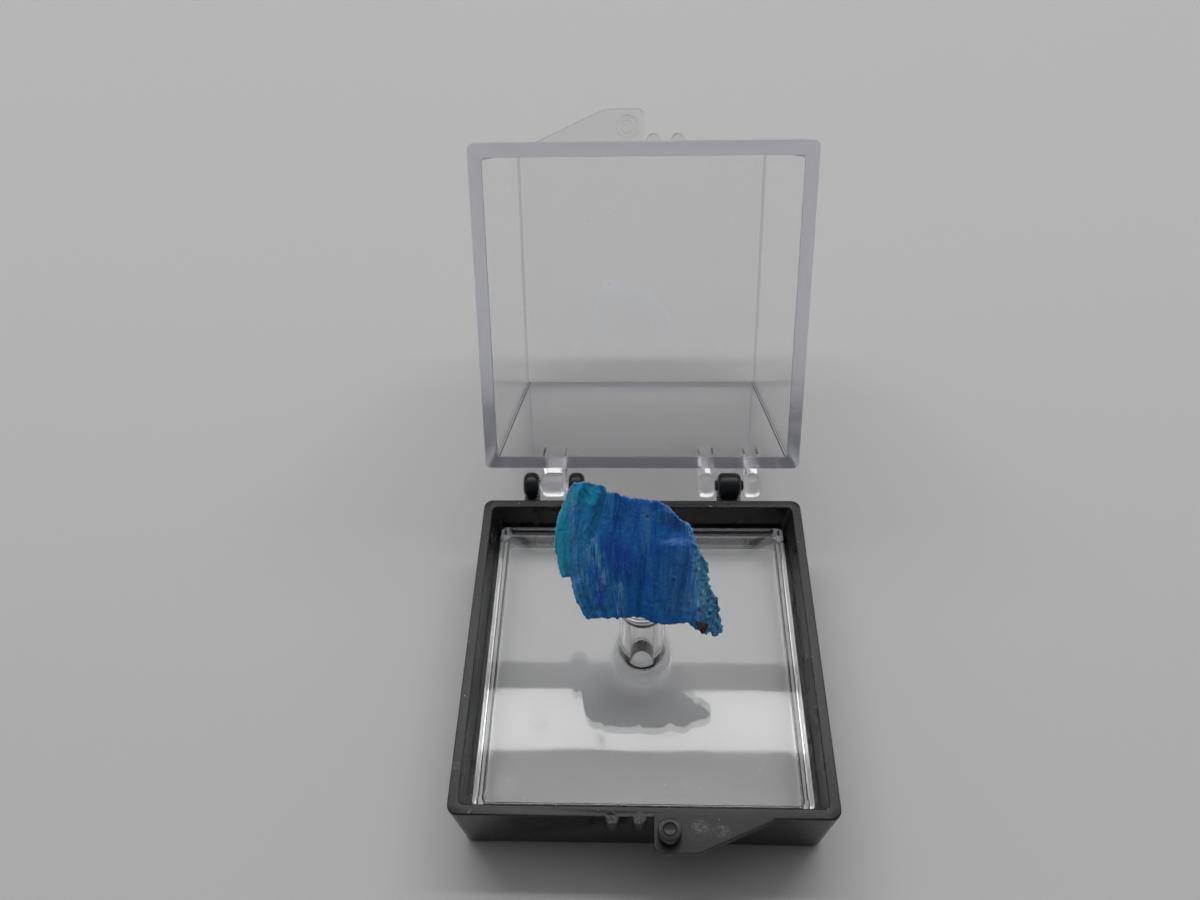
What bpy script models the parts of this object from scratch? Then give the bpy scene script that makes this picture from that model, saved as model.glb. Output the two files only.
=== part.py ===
"""Chalcanthite fragment on the pedestal of a small hinged display box, lid open. Metres, +Z up.

The origin is on the underside of the tray, at its centre. +Y points to the hinge, +X along it.
"""

from math import atan2, asin, cos, exp, pi, radians, sin

import bmesh
import bpy
from mathutils import Matrix, Vector, noise

MM = 0.001

# Box
BOX_SIDE = 31.75 * MM
PARTING_HEIGHT = 8.0 * MM
LID_DEPTH = 23.0 * MM
PARTING_GAP = 0.1 * MM
CORNER_RADIUS = 0.9 * MM
CORNER_STEPS = 4
EDGE_CHAMFER = 0.35 * MM
TOUCH_GAP = 0.2 * MM
STAND_CLEARANCE = 0.05 * MM

# Tray
TRAY_RIM_WALL = 0.9 * MM
TRAY_LOW_WALL = 1.3 * MM
TRAY_FLOOR = 1.2 * MM
TRAY_DRAFT = 0.5 * MM
LEDGE_DEPTH = 2.2 * MM

# Lid
LID_WALL = 1.3 * MM
LID_FAR_WALL = 1.05 * MM
LID_PANEL = 1.3 * MM
LID_DRAFT = 1.3 * MM
LID_CORNER_RADIUS = 0.6 * MM
LID_CAVITY_RADIUS = 0.3 * MM

# Insert
INSERT_TOP = 5.4 * MM
INSERT_HALF = 14.3 * MM
INSERT_PLATE = 1.3 * MM
SKIRT_WALL = 1.3 * MM
CARD_THICKNESS = 0.3 * MM
CARD_HALF = 14.1 * MM
PEDESTAL_Y = 0.3 * MM
PEDESTAL_TOP = 15.1 * MM
PEDESTAL_FOOT_RADIUS = 2.05 * MM
PEDESTAL_TOP_RADIUS = 1.95 * MM
PEDESTAL_FILLET = 0.9 * MM
CORE_FOOT_RADIUS = 1.15 * MM
CORE_TOP_RADIUS = 1.0 * MM
CORE_TOP = 12.6 * MM
TURN_STEPS = 40

# Glue
GLUE_RADIUS = 1.75 * MM
GLUE_HEIGHT = 0.45 * MM

# Hinge
HINGE_OFFSET = 1.8 * MM
EYE_RADIUS = 1.3 * MM
PIN_RADIUS = 0.5 * MM
PIN_DEPTH = 0.75 * MM
PIN_BORE_RADIUS = 0.8 * MM
LUG_ROOT = 4.6 * MM
LUG_BITE = 0.4 * MM
PAIR_LUG_WIDTH = 1.6 * MM
SINGLE_LUG_WIDTH = 2.4 * MM
LUG_SIDE_GAP = 0.3 * MM
TRAY_PAIR_X = -8.9 * MM
LID_PAIR_X = 8.9 * MM

# Catch
CATCH_REACH = 2.75 * MM
CATCH_THICKNESS = 0.85 * MM
CATCH_LENGTH = 9.6 * MM
CATCH_FLAT = 3.2 * MM
BOSS_OUT = 1.3 * MM
BOSS_RADIUS = 0.95 * MM
BOSS_HOLE_RADIUS = 0.58 * MM
BOSS_HOLE_DEPTH = 0.3 * MM
BOSS_RISE = 1.1 * MM
TRAY_BOSS_X = 2.1 * MM
TRAY_FLANGE_START = 1.25 * MM
LID_BOSS_X = -1.35 * MM
LID_FLANGE_START = 1.5 * MM
NUB_SPREAD = 1.1 * MM
NUB_RADIUS = 0.6 * MM
NUB_LENGTH = 1.6 * MM

# Fragment: its outline is drawn in a plane that leans back, seen square on, in millimetres
LEAN = radians(33.2)
FRAGMENT_CENTRE = Vector((0.0, 0.5 * MM, 19.0 * MM))
OUTLINE = (
    (-5.7, 6.95), (-4.55, 6.95), (-3.15, 6.65), (-3.0, 6.15), (-2.15, 6.05), (-1.2, 5.65),
    (0.2, 5.55), (1.35, 5.4), (2.1, 4.95), (2.75, 4.25), (3.4, 3.75), (3.95, 3.5), (4.3, 2.8),
    (4.35, 1.95), (4.85, 1.0), (5.35, 0.6), (5.45, -1.3), (5.85, -2.1), (6.3, -2.65), (6.5, -4.15),
    (6.7, -5.2), (6.2, -5.75), (5.7, -5.3), (5.2, -5.45), (4.6, -5.05), (3.75, -4.45), (2.7, -4.6),
    (1.4, -4.6), (0.1, -4.15), (-0.65, -4.0), (-2.2, -4.15), (-3.75, -4.1), (-4.6, -4.25), (-5.4, -3.05),
    (-5.9, -1.55), (-6.15, -0.7), (-6.95, -0.8), (-7.2, 0.45), (-7.5, 1.8), (-7.35, 3.7), (-6.9, 4.95),
    (-6.2, 6.55),
)
CUT_SPACING = 0.42
THINNEST = 0.6
SEAT_HEIGHT = PEDESTAL_TOP + GLUE_HEIGHT + 2 * TOUCH_GAP


def clear_scene():
    for obj in list(bpy.data.objects):
        bpy.data.objects.remove(obj, do_unlink=True)


def new_collection(name):
    collection = bpy.data.collections.new(name)
    bpy.context.scene.collection.children.link(collection)
    return collection


def new_material(name, colour, roughness, transmission=0.0, ior=1.5):
    material = bpy.data.materials.new(name)
    material.use_nodes = True
    shader = material.node_tree.nodes["Principled BSDF"]
    shader.inputs["Base Color"].default_value = (*colour, 1.0)
    shader.inputs["Roughness"].default_value = roughness
    shader.inputs["Metallic"].default_value = 0.0
    shader.inputs["Transmission Weight"].default_value = transmission
    shader.inputs["IOR"].default_value = ior
    return material


def object_from(bm, name, collection, material=None):
    bmesh.ops.recalc_face_normals(bm, faces=bm.faces[:])
    mesh = bpy.data.meshes.new(name)
    bm.to_mesh(mesh)
    bm.free()
    obj = bpy.data.objects.new(name, mesh)
    collection.objects.link(obj)
    if material:
        mesh.materials.append(material)
    return obj


def as_cutter(obj):
    obj.hide_render = True
    obj.display_type = "WIRE"
    return obj


def boolean(obj, other, operation):
    modifier = obj.modifiers.new(other.name, "BOOLEAN")
    modifier.operation = operation
    modifier.solver = "EXACT"
    modifier.object = other
    return modifier


def tapered_block(name, levels, radius, collection, material=None):
    """A block with rounded upright corners, whose half width follows the (height, half width) levels."""
    bottom, top = levels[0][0], levels[-1][0]
    widest = max(half for _, half in levels)
    bm = bmesh.new()
    bmesh.ops.create_cube(bm, size=1.0)
    bmesh.ops.scale(bm, vec=(2 * widest, 2 * widest, top - bottom), verts=bm.verts[:])
    bmesh.ops.translate(bm, vec=(0.0, 0.0, (top + bottom) / 2), verts=bm.verts[:])
    upright = [e for e in bm.edges if abs(e.verts[0].co.z - e.verts[1].co.z) > 0.5 * (top - bottom)]
    bmesh.ops.bevel(bm, geom=upright, offset=radius, segments=CORNER_STEPS, profile=0.5, affect="EDGES",
                    material=-1)
    for height, _ in levels[1:-1]:
        geometry = bm.verts[:] + bm.edges[:] + bm.faces[:]
        bmesh.ops.bisect_plane(bm, geom=geometry, plane_co=(0, 0, height), plane_no=(0, 0, 1))
    for vert in bm.verts:
        half = min(levels, key=lambda level: abs(level[0] - vert.co.z))[1]
        vert.co.x *= half / widest
        vert.co.y *= half / widest
    return object_from(bm, name, collection, material)


def box_of(name, low, high, collection):
    bm = bmesh.new()
    bmesh.ops.create_cube(bm, size=1.0)
    size = [b - a for a, b in zip(low, high)]
    centre = [(a + b) / 2 for a, b in zip(low, high)]
    bmesh.ops.scale(bm, vec=size, verts=bm.verts[:])
    bmesh.ops.translate(bm, vec=centre, verts=bm.verts[:])
    return object_from(bm, name, collection)


def rod_along(axis, name, centre, radius, length, steps, collection):
    """A round rod along X or Z."""
    bm = bmesh.new()
    turn = Matrix.Rotation(pi / 2, 4, "Y") if axis == "X" else Matrix.Identity(4)
    bmesh.ops.create_cone(bm, cap_ends=True, cap_tris=False, segments=steps, radius1=radius, radius2=radius,
                          depth=length, matrix=Matrix.Translation(centre) @ turn)
    return object_from(bm, name, collection)


def extruded(name, points, thickness, collection):
    """A flat outline in XY, extruded up by its thickness."""
    bm = bmesh.new()
    face = bm.faces.new([bm.verts.new((x, y, 0.0)) for x, y in points])
    grown = bmesh.ops.extrude_face_region(bm, geom=[face])
    rise = [item for item in grown["geom"] if isinstance(item, bmesh.types.BMVert)]
    bmesh.ops.translate(bm, vec=(0.0, 0.0, thickness), verts=rise)
    return object_from(bm, name, collection)


def turned(name, profile, collection):
    """A solid of revolution about Z from a (radius, height) profile that runs down its outer side."""
    bm = bmesh.new()
    verts = [bm.verts.new((radius, 0.0, height)) for radius, height in profile]
    for first, second in zip(verts, verts[1:]):
        bm.edges.new((first, second))
    mesh = bpy.data.meshes.new(name)
    bm.to_mesh(mesh)
    bm.free()
    obj = bpy.data.objects.new(name, mesh)
    collection.objects.link(obj)
    screw = obj.modifiers.new("Turn", "SCREW")
    screw.axis = "Z"
    screw.steps = TURN_STEPS
    screw.render_steps = TURN_STEPS
    screw.use_merge_vertices = True
    screw.merge_threshold = 0.00001
    return obj


def moved(obj, location=(0, 0, 0), mirror_x=False, mirror_z=False):
    """Applies a mirror and a shift to the object's own mesh."""
    scale = Matrix.Diagonal((-1 if mirror_x else 1, 1, -1 if mirror_z else 1, 1))
    bm = bmesh.new()
    bm.from_mesh(obj.data)
    bmesh.ops.transform(bm, matrix=Matrix.Translation(location) @ scale, verts=bm.verts[:])
    bmesh.ops.recalc_face_normals(bm, faces=bm.faces[:])
    bm.to_mesh(obj.data)
    bm.free()
    return obj


def hinge_lug(name, centre_x, width, side, collection):
    """A lug on the axis at y = 0, z = 0, rooted in the wall in front of it. side is -1 for the tray, 1 for the lid."""
    steps = 14
    root = -HINGE_OFFSET - LUG_BITE
    start, end = radians(200), radians(-52)
    arc = [start + (end - start) * i / steps for i in range(steps + 1)]
    points = [(-EYE_RADIUS * cos(pi - a), -side * EYE_RADIUS * sin(a)) for a in arc]
    points += [(root, side * LUG_ROOT), (root, side * PARTING_GAP)]
    lug = extruded(name, points, width, collection)
    upright = Matrix(((0, 0, 1, centre_x - width / 2), (1, 0, 0, 0), (0, 1, 0, 0), (0, 0, 0, 1)))
    bm = bmesh.new()
    bm.from_mesh(lug.data)
    bmesh.ops.transform(bm, matrix=upright, verts=bm.verts[:])
    bmesh.ops.recalc_face_normals(bm, faces=bm.faces[:])
    bm.to_mesh(lug.data)
    bm.free()
    return as_cutter(lug)


def add_hinge(body, pair_x, single_x, side, shift, cutters):
    """Fuses a pair of lugs with inward pins at pair_x and one bored lug at single_x to a body."""
    pitch = SINGLE_LUG_WIDTH / 2 + LUG_SIDE_GAP + PAIR_LUG_WIDTH / 2
    length = PAIR_LUG_WIDTH / 2 + LUG_SIDE_GAP + PIN_DEPTH
    for i, way in enumerate((-1, 1)):
        x = pair_x + way * pitch
        lug = hinge_lug(f"{body.name}_pair_lug_{i}", x, PAIR_LUG_WIDTH, side, cutters)
        boolean(body, moved(lug, shift), "UNION")
        pin = rod_along("X", f"{body.name}_pin_{i}", (x - way * length / 2, 0, 0), PIN_RADIUS, length, 16, cutters)
        boolean(body, moved(as_cutter(pin), shift), "UNION")
    single = hinge_lug(f"{body.name}_single_lug", single_x, SINGLE_LUG_WIDTH, side, cutters)
    boolean(body, moved(single, shift), "UNION")
    reach = SINGLE_LUG_WIDTH + LUG_SIDE_GAP
    bore = rod_along("X", f"{body.name}_bore", (single_x, 0, 0), PIN_BORE_RADIUS, reach, 16, cutters)
    boolean(body, moved(as_cutter(bore), shift), "DIFFERENCE")


def add_catch(body, boss_x, start, way, nub_x, side, shift, cutters):
    """Fuses the catch to the front wall. way is the side that its flange slopes to, side is -1 for the tray."""
    wall = -BOX_SIDE / 2
    near = -start * way
    outline = [
        (boss_x + near, wall + LUG_BITE),
        (boss_x + near, wall - CATCH_REACH + 0.45 * MM),
        (boss_x + near + 0.4 * MM * way, wall - CATCH_REACH),
        (boss_x + near + CATCH_FLAT * way, wall - CATCH_REACH),
        (boss_x + near + CATCH_LENGTH * way, wall - 0.05 * MM),
        (boss_x + near + CATCH_LENGTH * way, wall + LUG_BITE),
    ]
    base = PARTING_GAP if side > 0 else -PARTING_GAP - CATCH_THICKNESS
    flange = extruded(f"{body.name}_catch_flange", outline, CATCH_THICKNESS, cutters)
    boolean(body, moved(as_cutter(flange), Vector(shift) + Vector((0, 0, base))), "UNION")

    length = BOSS_RISE + PARTING_GAP + CATCH_THICKNESS / 2
    middle = -side * (BOSS_RISE - length / 2)
    centre = Vector((boss_x, wall - BOSS_OUT, middle)) + Vector(shift)
    boss = rod_along("Z", f"{body.name}_catch_boss", centre, BOSS_RADIUS, length, 20, cutters)
    boolean(body, as_cutter(boss), "UNION")
    centre.z = shift[2] - side * (BOSS_RISE - BOSS_HOLE_DEPTH / 2 + 0.05 * MM)
    hole = rod_along("Z", f"{body.name}_boss_hole", centre, BOSS_HOLE_RADIUS, BOSS_HOLE_DEPTH, 16, cutters)
    boolean(body, as_cutter(hole), "DIFFERENCE")

    for i, x in enumerate((nub_x - NUB_SPREAD, nub_x + NUB_SPREAD)):
        centre = Vector((x, wall, side * (PARTING_GAP + NUB_LENGTH / 2))) + Vector(shift)
        nub = rod_along("Z", f"{body.name}_nub_{i}", centre, NUB_RADIUS, NUB_LENGTH, 16, cutters)
        boolean(body, as_cutter(nub), "UNION")


def make_base_tray(parts, cutters):
    half = BOX_SIDE / 2
    rim = PARTING_HEIGHT - PARTING_GAP
    outer = [(0.0, half - TRAY_DRAFT - EDGE_CHAMFER), (EDGE_CHAMFER, half - TRAY_DRAFT), (rim, half)]
    black = new_material("black_plastic", (0.012, 0.013, 0.014), 0.32)
    tray = tapered_block("base_tray", outer, CORNER_RADIUS, parts, black)
    inner = [
        (TRAY_FLOOR, half - TRAY_LOW_WALL - 0.15 * MM),
        (rim - LEDGE_DEPTH, half - TRAY_LOW_WALL),
        (rim, half - TRAY_RIM_WALL),
        (rim + 1.0 * MM, half - TRAY_RIM_WALL),
    ]
    cavity = tapered_block("tray_cavity", inner, 0.5 * MM, cutters)
    boolean(tray, as_cutter(cavity), "DIFFERENCE")
    add_hinge(tray, TRAY_PAIR_X, LID_PAIR_X, -1, (0, half + HINGE_OFFSET, PARTING_HEIGHT), cutters)
    add_catch(tray, TRAY_BOSS_X, TRAY_FLANGE_START, 1, LID_BOSS_X, -1, (0, 0, PARTING_HEIGHT), cutters)
    return tray


def open_angle():
    """The angle from closed at which the lid's far lower edge is just above the table."""
    corners = (
        (HINGE_OFFSET + LID_DRAFT, LID_DEPTH - EDGE_CHAMFER),
        (HINGE_OFFSET + LID_DRAFT + EDGE_CHAMFER, LID_DEPTH),
    )
    drop = PARTING_HEIGHT - STAND_CLEARANCE
    return min(pi + asin(drop / (a * a + b * b) ** 0.5) - atan2(b, a) for a, b in corners)


def make_clear_lid(parts, cutters):
    """The lid is drawn closed, with its hinge axis at its origin, then turned open."""
    half = BOX_SIDE / 2
    back = (0, -half - HINGE_OFFSET, 0)
    outer = [
        (PARTING_GAP, half),
        (LID_DEPTH - EDGE_CHAMFER, half - LID_DRAFT),
        (LID_DEPTH, half - LID_DRAFT - EDGE_CHAMFER),
    ]
    clear = new_material("clear_lid_plastic", (0.9, 0.92, 0.93), 0.05, 1.0, 1.49)
    lid = moved(tapered_block("clear_lid", outer, LID_CORNER_RADIUS, parts, clear), back)
    inner = [
        (PARTING_GAP - 1.0 * MM, half - LID_WALL),
        (PARTING_GAP, half - LID_WALL),
        (LID_DEPTH - LID_PANEL, half - LID_DRAFT - LID_FAR_WALL),
    ]
    cavity = tapered_block("lid_cavity", inner, LID_CAVITY_RADIUS, cutters)
    boolean(lid, moved(as_cutter(cavity), back), "DIFFERENCE")
    add_hinge(lid, LID_PAIR_X, TRAY_PAIR_X, 1, (0, 0, 0), cutters)
    add_catch(lid, LID_BOSS_X, LID_FLANGE_START, -1, TRAY_BOSS_X, 1, back, cutters)
    hinge = bpy.data.objects.new("lid_hinge", None)
    parts.objects.link(hinge)
    hinge.location = (0, half + HINGE_OFFSET, PARTING_HEIGHT)
    hinge.rotation_euler.x = -open_angle()
    lid.parent = hinge
    for cutter in cutters.objects:
        if cutter.name.startswith(("clear_lid_", "lid_cavity")):
            cutter.parent = hinge
    return lid


def make_floor_card(parts):
    bottom = TRAY_FLOOR + TOUCH_GAP
    white = new_material("white_card", (0.8, 0.8, 0.78), 0.8)
    levels = [(bottom, CARD_HALF), (bottom + CARD_THICKNESS, CARD_HALF)]
    return tapered_block("floor_card", levels, 0.4 * MM, parts, white)


def fillet(radius, height, size, steps):
    """The foot of a turned pedestal, from its side out to the plate."""
    turns = [pi + (pi / 2) * i / steps for i in range(1, steps + 1)]
    return [(radius + size + size * cos(a), height + size + size * sin(a)) for a in turns]


def make_clear_insert(parts, cutters):
    bottom = TRAY_FLOOR + CARD_THICKNESS + 2 * TOUCH_GAP
    clear = new_material("clear_insert_plastic", (0.93, 0.94, 0.94), 0.03, 1.0, 1.49)
    edge = 0.25 * MM
    outer = [(bottom, INSERT_HALF - 0.1 * MM), (INSERT_TOP - edge, INSERT_HALF), (INSERT_TOP, INSERT_HALF - edge)]
    insert = tapered_block("clear_insert", outer, 0.6 * MM, parts, clear)
    under = INSERT_TOP - INSERT_PLATE
    inner = [(bottom - 1.0 * MM, INSERT_HALF - SKIRT_WALL), (under, INSERT_HALF - SKIRT_WALL)]
    cavity = tapered_block("insert_cavity", inner, 0.5 * MM, cutters)
    boolean(insert, as_cutter(cavity), "DIFFERENCE")

    bite = INSERT_TOP - 0.5 * MM
    rim = 0.15 * MM
    profile = [(0, PEDESTAL_TOP), (PEDESTAL_TOP_RADIUS - rim, PEDESTAL_TOP), (PEDESTAL_TOP_RADIUS, PEDESTAL_TOP - rim)]
    profile += [(PEDESTAL_FOOT_RADIUS, INSERT_TOP + PEDESTAL_FILLET)]
    profile += fillet(PEDESTAL_FOOT_RADIUS, INSERT_TOP, PEDESTAL_FILLET, 4)
    profile += [(PEDESTAL_FOOT_RADIUS + PEDESTAL_FILLET, bite), (0, bite)]
    pedestal = turned("pedestal", profile, cutters)
    pedestal.location.y = PEDESTAL_Y
    boolean(insert, as_cutter(pedestal), "UNION")

    dome = 0.35 * MM
    hollow = [(0, CORE_TOP), (0.6 * CORE_TOP_RADIUS, CORE_TOP - 0.25 * dome), (CORE_TOP_RADIUS, CORE_TOP - dome)]
    hollow += [(CORE_FOOT_RADIUS, under), (CORE_FOOT_RADIUS, under - 1.0 * MM), (0, under - 1.0 * MM)]
    core = turned("pedestal_core", hollow, cutters)
    core.location.y = PEDESTAL_Y
    boolean(insert, as_cutter(core), "DIFFERENCE")
    return insert


def make_glue_dab(parts):
    bottom = PEDESTAL_TOP + TOUCH_GAP
    top = bottom + GLUE_HEIGHT
    profile = [(0, top), (0.7 * GLUE_RADIUS, top), (0.93 * GLUE_RADIUS, top - 0.35 * GLUE_HEIGHT)]
    profile += [(GLUE_RADIUS, bottom + 0.2 * GLUE_HEIGHT), (0.97 * GLUE_RADIUS, bottom), (0, bottom)]
    dab = turned("glue_dab", profile, parts)
    dab.location.y = PEDESTAL_Y
    dab.data.materials.append(new_material("clear_glue", (0.9, 0.9, 0.86), 0.15, 1.0, 1.46))
    return dab


def smooth_step(low, high, value):
    t = min(1.0, max(0.0, (value - low) / (high - low)))
    return t * t * (3 - 2 * t)


def across_fibres(u, v):
    """The place across the fibres, which bow to the left on the left side and lean to the right low down."""
    bow = 0.055 * (v - 1.2) ** 2 * smooth_step(0.5, -5.5, u)
    lean = 0.016 * (v - 5.0) ** 2 * smooth_step(-2.0, 5.0, u)
    return u - bow + lean


def face_height(u, v):
    """How far the broad face stands out of the outline's plane."""
    s = across_fibres(u, v)
    height = 0.2 * v - 0.2
    height -= 0.022 * (u + 0.6) ** 2
    height -= 1.7 * smooth_step(-5.5, -6.05, u + 0.03 * v)
    height -= 0.75 * smooth_step(2.0, 2.5, v) * smooth_step(0.9, 2.2, u) * smooth_step(4.6, 3.2, v)
    height -= 0.55 * smooth_step(3.9, 4.5, u + 0.12 * v)
    height += 0.55 * exp(-((u + 1.2) / 2.6) ** 2 - ((v - 0.5) / 4.0) ** 2)
    terraces = noise.noise(Vector((1.15 * s, 0.10 * v, 3.0)))
    height += 0.42 * terraces + 0.2 * round(2.2 * terraces) / 2.2
    height += 0.16 * noise.noise(Vector((3.3 * s, 0.22 * v, 7.0)))
    return height


def back_height(u, v):
    """How far the broken back lies from the outline's plane."""
    thickness = 3.1 - 0.9 * smooth_step(-1.0, 2.5, u) - 0.7 * smooth_step(2.5, 5.5, u) - 0.3 * smooth_step(4.0, 6.5, v)
    s = across_fibres(u, v)
    thickness += 0.4 * noise.noise(Vector((0.8 * s, 0.15 * v, 21.0)))
    thickness += 0.18 * noise.noise(Vector((2.6 * s, 0.3 * v, 27.0)))
    smooth_face = 0.2 * v - 0.2 - 0.022 * (u + 0.6) ** 2 - 1.2 * smooth_step(-5.5, -6.4, u)
    return smooth_face - thickness


def make_chalcanthite(parts):
    """A slab cut to the outline, gridded by planes, whose two faces then take their relief."""
    slab_half = 1.0
    bm = bmesh.new()
    face = bm.faces.new([bm.verts.new((u, v, -slab_half)) for u, v in OUTLINE])
    grown = bmesh.ops.extrude_face_region(bm, geom=[face])
    raised = [item for item in grown["geom"] if isinstance(item, bmesh.types.BMVert)]
    bmesh.ops.translate(bm, vec=(0, 0, 2 * slab_half), verts=raised)
    bmesh.ops.triangulate(bm, faces=bm.faces[:])
    lows = [min(point[i] for point in OUTLINE) for i in (0, 1)]
    highs = [max(point[i] for point in OUTLINE) for i in (0, 1)]
    for axis, (low, high) in enumerate(zip(lows, highs)):
        normal = [(1, 0, 0), (0, 1, 0)][axis]
        spacing = CUT_SPACING * (1.0 if axis == 0 else 2.2)
        for i in range(1, int((high - low) / spacing) + 1):
            at = [0, 0, 0]
            at[axis] = low + i * spacing + 0.013
            geometry = bm.verts[:] + bm.edges[:] + bm.faces[:]
            bmesh.ops.bisect_plane(bm, geom=geometry, plane_co=at, plane_no=normal)
    geometry = bm.verts[:] + bm.edges[:] + bm.faces[:]
    bmesh.ops.bisect_plane(bm, geom=geometry, plane_co=(0, 0, 0), plane_no=(0, 0, 1))
    bmesh.ops.dissolve_degenerate(bm, dist=0.02, edges=bm.edges[:])
    bmesh.ops.triangulate(bm, faces=bm.faces[:])

    leaned = Matrix.Translation(FRAGMENT_CENTRE) @ Matrix.Rotation(LEAN, 4, "X")
    for vert in bm.verts:
        u, v, level = vert.co
        front, back = face_height(u, v), back_height(u, v)
        under = leaned @ (Vector((u, v, back)) * MM)
        away = Vector((under.x, under.y - PEDESTAL_Y)).length / PEDESTAL_TOP_RADIUS
        lift = max(0.0, SEAT_HEIGHT - under.z) / (MM * cos(LEAN)) * smooth_step(2.0, 1.4, away)
        back = min(back + lift, front - THINNEST)
        if level > 0.5:
            height = front
        elif level < -0.5:
            height = back
        else:
            height = 0.5 * (front + back)
        vert.co = leaned @ (Vector((u, v, height)) * MM)
    blue = new_material("chalcanthite_blue", (0.012, 0.11, 0.38), 0.35, 0.25, 1.52)
    return object_from(bm, "chalcanthite", parts, blue)


def shade_round(obj):
    obj.data.shade_smooth()
    obj.data.set_sharp_from_angle(angle=radians(30))


clear_scene()
PARTS = new_collection("chalcanthite_in_hinged_box")
CUTTERS = new_collection("cutters")
make_base_tray(PARTS, CUTTERS)
make_clear_lid(PARTS, CUTTERS)
make_floor_card(PARTS)
shade_round(make_clear_insert(PARTS, CUTTERS))
make_glue_dab(PARTS)
make_chalcanthite(PARTS)
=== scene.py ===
from math import asin, atan2, cos, exp, pi, radians, sin, tan

import bmesh
import bpy
from mathutils import Matrix, Vector, noise


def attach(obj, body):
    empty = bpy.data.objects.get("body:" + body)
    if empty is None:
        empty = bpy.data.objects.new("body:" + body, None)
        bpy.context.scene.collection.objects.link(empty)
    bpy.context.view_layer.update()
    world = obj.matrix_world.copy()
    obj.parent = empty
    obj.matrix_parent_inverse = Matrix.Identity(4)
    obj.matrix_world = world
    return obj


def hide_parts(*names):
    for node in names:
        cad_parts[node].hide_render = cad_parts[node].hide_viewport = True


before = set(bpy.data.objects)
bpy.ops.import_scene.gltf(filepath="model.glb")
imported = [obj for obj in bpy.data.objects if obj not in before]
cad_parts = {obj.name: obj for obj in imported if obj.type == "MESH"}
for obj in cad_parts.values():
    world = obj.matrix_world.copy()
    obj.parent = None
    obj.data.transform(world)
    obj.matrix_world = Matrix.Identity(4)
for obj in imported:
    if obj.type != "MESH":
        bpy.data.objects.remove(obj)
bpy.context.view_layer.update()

mm = 0.001
scene = bpy.context.scene
print("frame loaded:", ", ".join(sorted(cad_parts)))


# One shader socket. Expressions on it add Math nodes, and node() adds any other node.
class Wire:
    def __init__(self, tree, socket=None):
        self.tree = tree
        self.socket = socket

    def node(self, kind, settings, sockets, output=0):
        made = self.tree.nodes.new("ShaderNode" + kind)
        for key, value in settings.items():
            if key == "stops":
                while len(made.color_ramp.elements) < len(value):
                    made.color_ramp.elements.new(0.5)
                for element, (place, colour) in zip(made.color_ramp.elements, value):
                    element.position = place
                    element.color = colour
            else:
                setattr(made, key, value)
        for key, value in sockets.items():
            if isinstance(value, Wire):
                self.tree.links.new(value.socket, made.inputs[key])
            else:
                made.inputs[key].default_value = value
        return Wire(self.tree, made.outputs[output])

    def math(self, operation, *values):
        return self.node("Math", {"operation": operation}, dict(enumerate(values)))

    def __add__(self, other):
        return self.math("ADD", self, other)

    def __radd__(self, other):
        return self.math("ADD", other, self)

    def __sub__(self, other):
        return self.math("SUBTRACT", self, other)

    def __rsub__(self, other):
        return self.math("SUBTRACT", other, self)

    def __mul__(self, other):
        return self.math("MULTIPLY", self, other)

    def __rmul__(self, other):
        return self.math("MULTIPLY", other, self)

    def __truediv__(self, other):
        return self.math("DIVIDE", self, other)

    def power(self, exponent):
        return self.math("POWER", self, exponent)

    def absolute(self):
        return self.math("ABSOLUTE", self)

    # 0 at low to 1 at high, with soft ends
    def step(self, low, high):
        if low > high:
            return 1 - self.step(high, low)
        return self.node("MapRange", {"interpolation_type": "SMOOTHSTEP"}, {0: self, 1: low, 2: high})


def newFinish(name, values):
    material = bpy.data.materials.new(name)
    material.use_nodes = True
    shader = material.node_tree.nodes["Principled BSDF"]
    for key, value in values.items():
        shader.inputs[key].default_value = value
    return material, shader, Wire(material.node_tree)


def linkTo(shader, **wires):
    for key, wire in wires.items():
        name = {"colour": "Base Color", "roughness": "Roughness", "normal": "Normal"}[key]
        wire.tree.links.new(wire.socket, shader.inputs[name])


def objectPlace(start):
    return start.node("TexCoord", {}, {}, "Object")


def grain(start, place, scale, detail=2.0, roughness=0.5):
    return start.node("TexNoise", {}, {"Vector": place, "Scale": scale, "Detail": detail, "Roughness": roughness})


def mixed(mask, first, second):
    return mask.node("Mix", {"data_type": "RGBA"}, {0: mask, 6: first, 7: second}, 2)


def bumped(height, distance, strength=1.0):
    return height.node("Bump", {}, {"Height": height, "Distance": distance, "Strength": strength})


# Thin streaks: a noise stretched along one way
def streaked(start, place, turn, scale):
    stretched = start.node("Mapping", {}, {"Vector": place, "Rotation": turn, "Scale": scale})
    return start.node("TexNoise", {}, {"Vector": stretched, "Scale": 1.0, "Detail": 1.0})


# Ragged round spots seen from above, each at x, y with a radius, in millimetres
def spotsOn(start, place, spots):
    flat = start.node("VectorMath", {"operation": "MULTIPLY"}, {0: place, 1: (1, 1, 0)})
    ragged = (grain(start, place, 700.0, 3.0) - 0.5) * 1.6 * mm
    total = 0
    for x, y, radius in spots:
        away = start.node("VectorMath", {"operation": "DISTANCE"}, {0: flat, 1: (x * mm, y * mm, 0)}, 1)
        total = total + (away + ragged).step(radius * mm, 0.3 * radius * mm)
    return total.math("MINIMUM", total, 1.0)


# Mesh helpers

def smoothStep(low, high, value):
    t = min(1.0, max(0.0, (value - low) / (high - low)))
    return t * t * (3 - 2 * t)


def objectOf(bm, name):
    bmesh.ops.recalc_face_normals(bm, faces=bm.faces[:])
    mesh = bpy.data.meshes.new(name)
    bm.to_mesh(mesh)
    bm.free()
    obj = bpy.data.objects.new(name, mesh)
    scene.collection.objects.link(obj)
    return obj


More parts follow.
